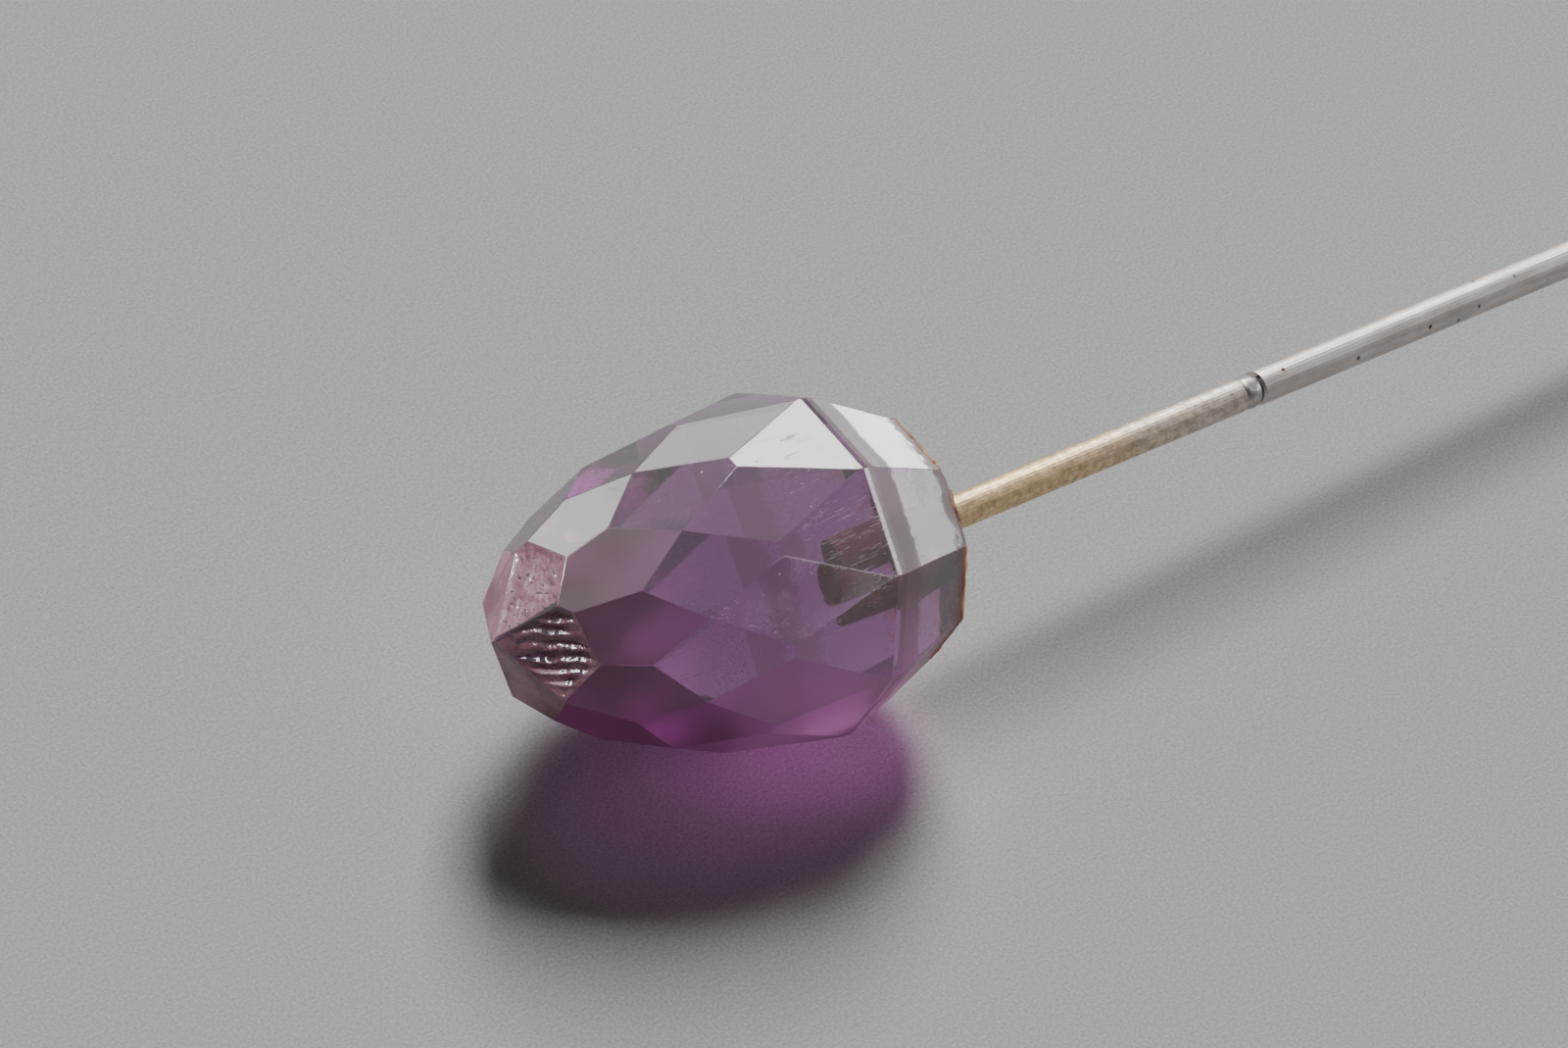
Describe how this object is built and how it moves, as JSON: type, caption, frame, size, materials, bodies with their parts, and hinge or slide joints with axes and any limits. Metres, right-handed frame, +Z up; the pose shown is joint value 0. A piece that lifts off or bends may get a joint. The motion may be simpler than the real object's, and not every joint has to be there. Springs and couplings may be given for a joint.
{
  "type": "hat pin",
  "caption": "Hat pin with an egg-shaped, faceted violet glass head cemented on a steel stem with a gilt neck sleeve and a ground point.",
  "frame": {"origin": "middle of the pin's bounding box, on the plane that it lies on", "axes": "+X from the head along the stem to the point, +Z up, as the pin lies on a table"},
  "size_m": [0.178, 0.012, 0.0116],
  "materials": {
    "violet_glass": "polished violet glass, hand-cut facets, worn and scratched",
    "cement": "brown resin cement",
    "gilt": "gilded tube, worn towards its end",
    "solder": "soft solder, dull",
    "steel": "tarnished drawn wire"
  },
  "bodies": {
    "root": {"faceted_head": "violet_glass", "head_cement": "cement", "neck_sleeve": "gilt", "sleeve_solder": "solder", "pin_shank": "steel"}
  },
  "joints": []
}
